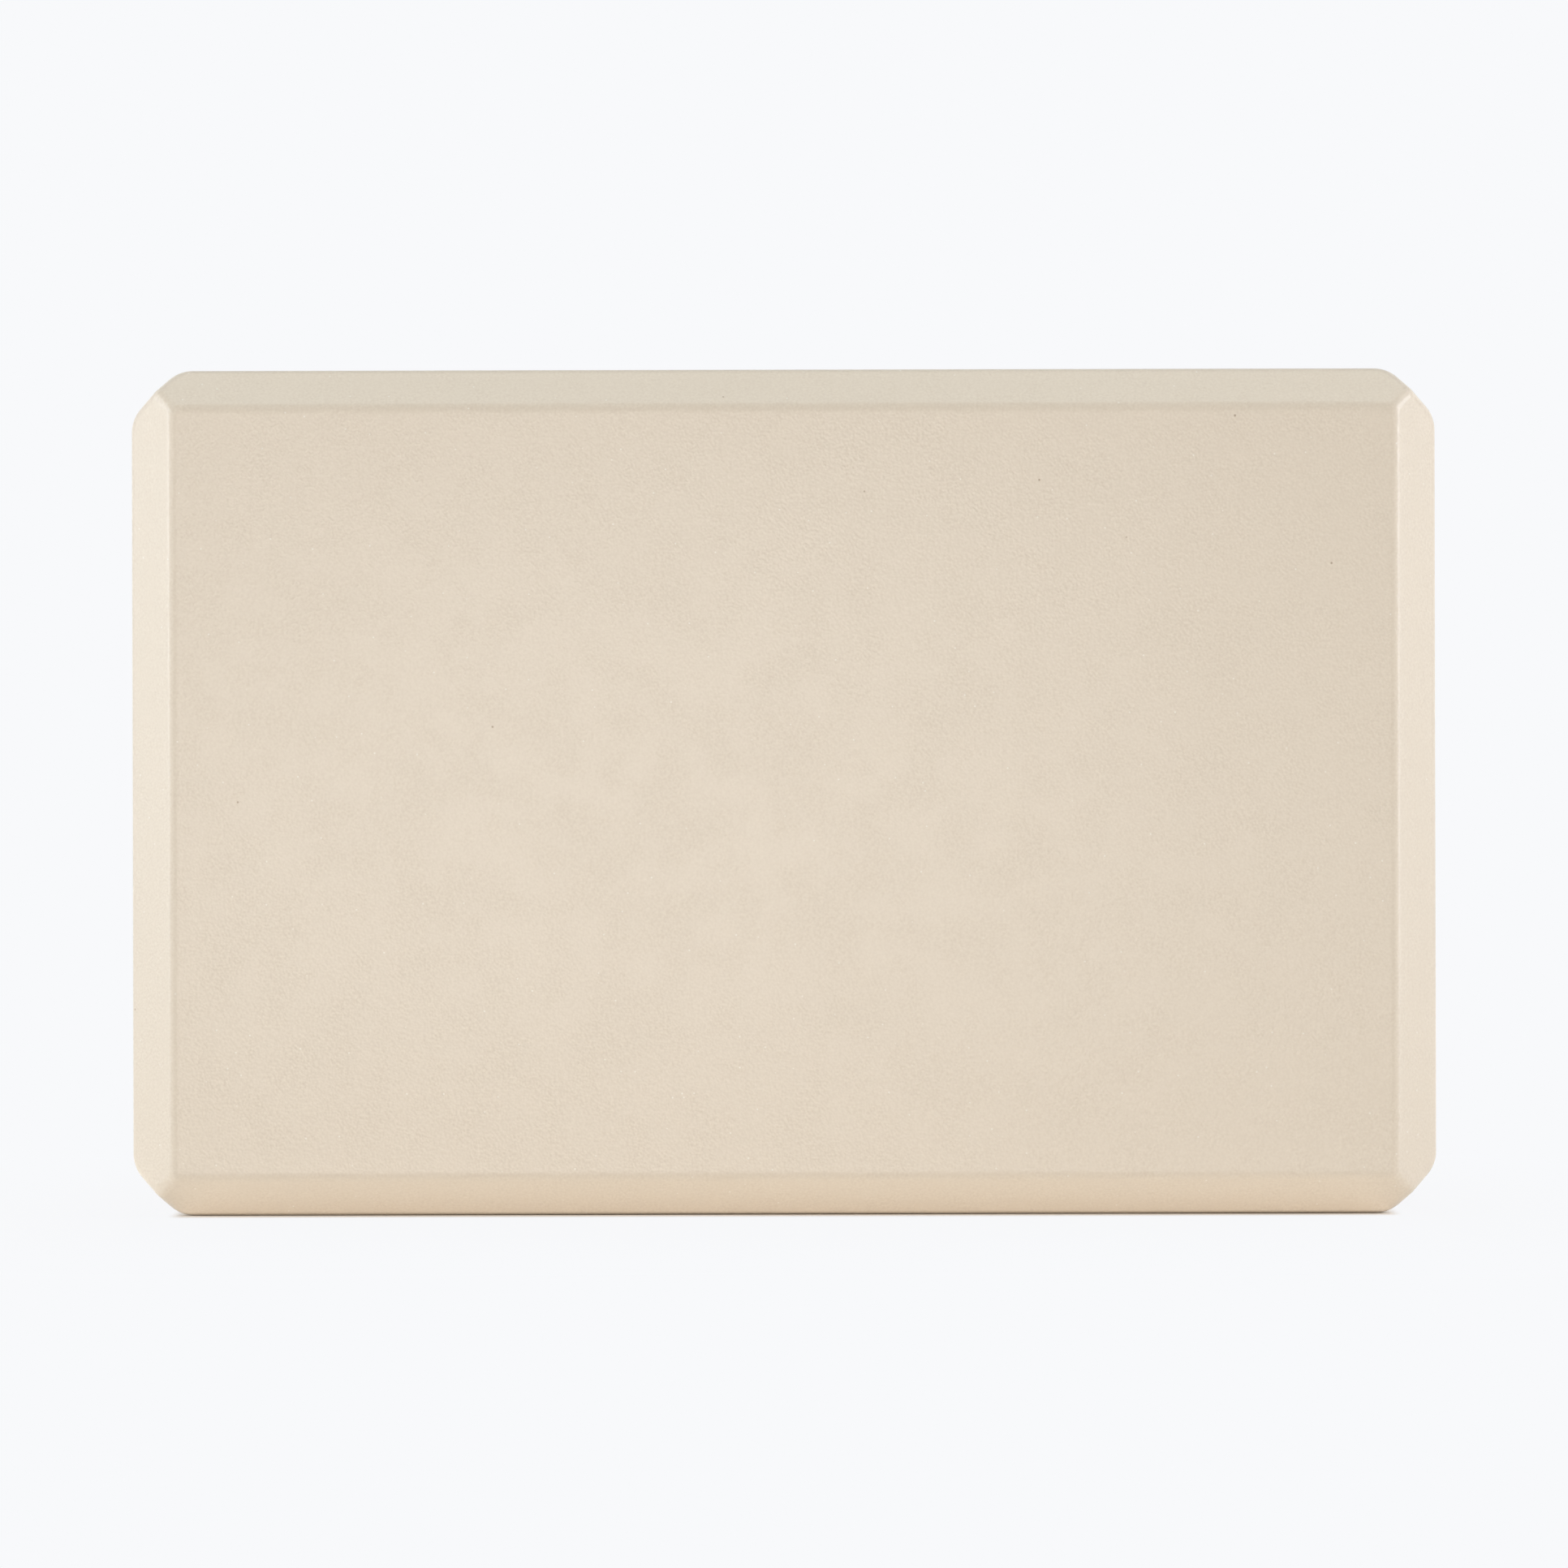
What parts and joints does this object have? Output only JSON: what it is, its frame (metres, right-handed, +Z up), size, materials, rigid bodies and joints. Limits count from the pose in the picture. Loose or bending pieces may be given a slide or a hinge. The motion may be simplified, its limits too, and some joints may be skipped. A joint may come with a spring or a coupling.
{
  "type": "yoga block",
  "caption": "Rectangular closed-cell foam yoga block with bevelled, softly rounded edges, standing on a long narrow side, bonded from thick plies, to rest, lean or lift a body on.",
  "frame": {"origin": "middle of the underside, the long narrow side that the block stands on", "axes": "+X along the length, -Y towards the viewer of the picture, +Z up along the width of the large faces"},
  "size_m": [0.23, 0.075, 0.149],
  "materials": {
    "foam": "fine pebbled satin skin of cross-linked EVA foam, pale cream beige",
    "adhesive": "dried contact adhesive, slightly darker than the foam"
  },
  "bodies": {
    "root": {"front_foam_ply": "foam", "rear_foam_ply": "foam", "bond_film": "adhesive"}
  },
  "joints": []
}
